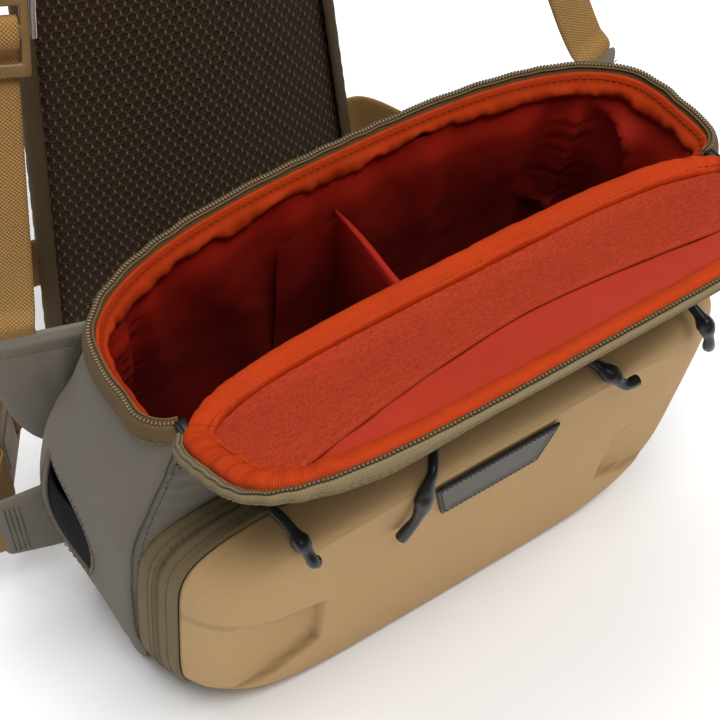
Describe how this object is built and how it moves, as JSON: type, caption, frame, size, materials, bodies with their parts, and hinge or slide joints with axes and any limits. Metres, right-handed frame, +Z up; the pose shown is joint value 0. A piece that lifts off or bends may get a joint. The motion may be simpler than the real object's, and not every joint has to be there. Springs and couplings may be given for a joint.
{
  "type": "chest pack",
  "caption": "Open zipped chest pack with a bright lined compartment, moulded front pocket, webbing harness and padded mesh back panel.",
  "frame": {"origin": "middle of the tub's base, on the floor it stands on", "axes": "+Z up, -Y the front with the moulded pocket, +X across to the right as seen from the front"},
  "size_m": [0.4178, 0.3815, 0.4538],
  "materials": {
    "grey": "woven matt",
    "lining": "smooth woven",
    "bright": "ribbed binding tape",
    "loop": "fuzzy loop pile",
    "olive": "woven tape",
    "coil": "bronze coil",
    "tan": "moulded fine cloth",
    "patch": "matt",
    "rubber": "satin",
    "webbing": "ribbed webbing",
    "plastic": "satin",
    "wire": "bright",
    "mesh": "spacer mesh"
  },
  "bodies": {
    "root": {"body_shell": "grey", "tool_sleeve_left": "rubber", "tool_sleeve_right": "rubber", "body_lining": "lining", "rim_tape": "olive", "rim_coil": "coil", "rim_facing": "bright", "lid_panel": "grey", "lid_lining": "lining", "loop_panel": "loop", "lid_binding": "bright", "lid_tape": "olive", "lid_coil": "coil", "lid_hinge": "grey", "zip_end_left": "rubber", "zip_end_right": "rubber", "divider": "lining", "pocket_band": "olive", "pocket_shell": "tan", "patch": "patch", "slider_left": "rubber", "pull_left": "rubber", "slider_mid_left": "rubber", "pull_mid_left": "rubber", "slider_mid_right": "rubber", "pull_mid_right": "rubber", "slider_right": "rubber", "pull_right": "rubber", "wing_left": "grey", "wing_right": "grey", "side_tab_left": "grey", "side_tab_right": "grey", "shoulder_webbing_left": "webbing", "shoulder_webbing_right": "webbing", "ladder_lock_left": "plastic", "ladder_lock_right": "plastic", "wire_bail_left": "wire", "wire_bail_right": "wire", "strap_loop_left": "webbing", "strap_loop_right": "webbing", "back_panel": "mesh", "back_binding": "olive", "shoulder_strap_left": "grey", "shoulder_strap_right": "grey", "side_buckle_left": "plastic", "side_buckle_right": "plastic", "side_strap_left": "webbing", "side_strap_right": "webbing", "back_strap_left": "webbing", "back_strap_right": "webbing"}
  },
  "joints": []
}
